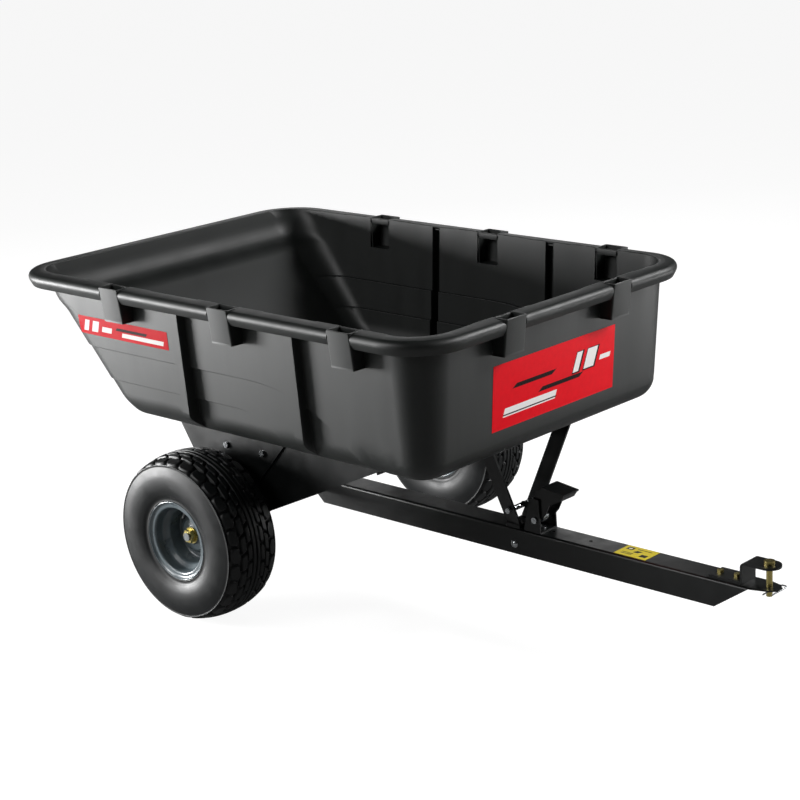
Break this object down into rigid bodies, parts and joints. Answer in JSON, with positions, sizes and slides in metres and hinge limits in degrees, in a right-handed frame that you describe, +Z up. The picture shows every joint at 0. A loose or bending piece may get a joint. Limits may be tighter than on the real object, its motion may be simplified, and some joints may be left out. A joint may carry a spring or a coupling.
{
  "type": "tow behind cart",
  "caption": "Two-wheeled dump cart towed by a pin hitch: an open moulded tub with a sloping dump end tips on its axle when a foot latch on the steel tongue is pressed.",
  "frame": {"origin": "on the ground under the middle of the cart's bounding box, wheels standing on z = 0", "axes": "+X towards the hitch, +Y to the cart's left, +Z up"},
  "size_m": [1.806, 1.0118, 0.7284],
  "materials": {
    "tub_plastic": "moulded black polyethylene, satin with a fine grain",
    "decal_red": "printed vinyl decal",
    "label_yellow": "printed vinyl label",
    "black_coat": "semi-gloss black powder coat on sheet steel",
    "bright_zinc": "clear zinc plate",
    "yellow_zinc": "yellow chromate zinc plate",
    "axle_steel": "drawn steel bar",
    "wheel_paint": "gloss dark grey enamel on pressed steel",
    "tyre_rubber": "moulded rubber, ribbed block tread",
    "valve_rubber": "moulded rubber",
    "insert_brass": "turned brass threaded insert",
    "nylon": "natural nylon",
    "bush_plastic": "black acetal"
  },
  "bodies": {
    "tongue": {"tongue": "black_coat", "pivot_tube": "black_coat", "axle": "axle_steel", "axle_spacers": "black_coat", "axle_washers": "yellow_zinc", "axle_nuts": "yellow_zinc", "cross_bolt": "bright_zinc", "cross_bolt_nut": "bright_zinc", "tongue_label": "label_yellow", "hitch_bracket": "black_coat", "hitch_bolts": "yellow_zinc", "hitch_nuts": "yellow_zinc", "latch_stand": "black_coat", "stand_bolt": "bright_zinc", "latch_pivot_pin": "bright_zinc", "latch_spring": "bright_zinc"},
    "tub": {"tub": "tub_plastic", "front_panel_decal": "decal_red", "right_side_decal": "decal_red", "left_side_decal": "decal_red", "axle_bracket_right": "black_coat", "axle_bracket_left": "black_coat", "bed_rail_right": "black_coat", "bed_rail_left": "black_coat", "bracket_bolts": "bright_zinc", "bracket_bushes": "bush_plastic", "front_cross_rail": "black_coat", "bed_bolts": "bright_zinc", "floor_inserts": "insert_brass", "strut_right": "black_coat", "strut_left": "black_coat", "strut_bolts": "bright_zinc", "latch_striker": "bright_zinc"},
    "wheel_right": {"tyre_right": "tyre_rubber", "wheel_rim_right": "wheel_paint", "hub_bushes_right": "nylon", "valve_stem_right": "valve_rubber"},
    "wheel_left": {"tyre_left": "tyre_rubber", "wheel_rim_left": "wheel_paint", "hub_bushes_left": "nylon", "valve_stem_left": "valve_rubber"},
    "foot_pedal": {"foot_pedal": "black_coat"},
    "hitch_pin": {"hitch_pin": "yellow_zinc"},
    "hitch_clip": {"hitch_clip": "bright_zinc"}
  },
  "joints": [
    {"name": "bed_tilt", "type": "hinge", "parent": "tongue", "child": "tub", "pos_m": [-0.331, 0, 0.19], "axis": [0, -1, 0], "range_deg": [0, 50]},
    {"name": "wheel_right_spin", "type": "hinge", "parent": "tongue", "child": "wheel_right", "pos_m": [-0.331, -0.43, 0.19], "axis": [0, 1, 0], "continuous": true},
    {"name": "wheel_left_spin", "type": "hinge", "parent": "tongue", "child": "wheel_left", "pos_m": [-0.331, 0.43, 0.19], "axis": [0, 1, 0], "continuous": true},
    {"name": "pedal_press", "type": "hinge", "parent": "tongue", "child": "foot_pedal", "pos_m": [0.307, 0, 0.232], "axis": [0, 1, 0], "range_deg": [0, 22], "stiffness_Nm_per_rad": 1.5, "springref_deg": -20.05},
    {"name": "pin_lift", "type": "slide", "parent": "tongue", "child": "hitch_pin", "axis": [0, 0, 1], "range_m": [0, 0.004]},
    {"name": "clip_pull", "type": "slide", "parent": "hitch_pin", "child": "hitch_clip", "axis": [0, 1, 0], "range_m": [0, 0.045]}
  ]
}
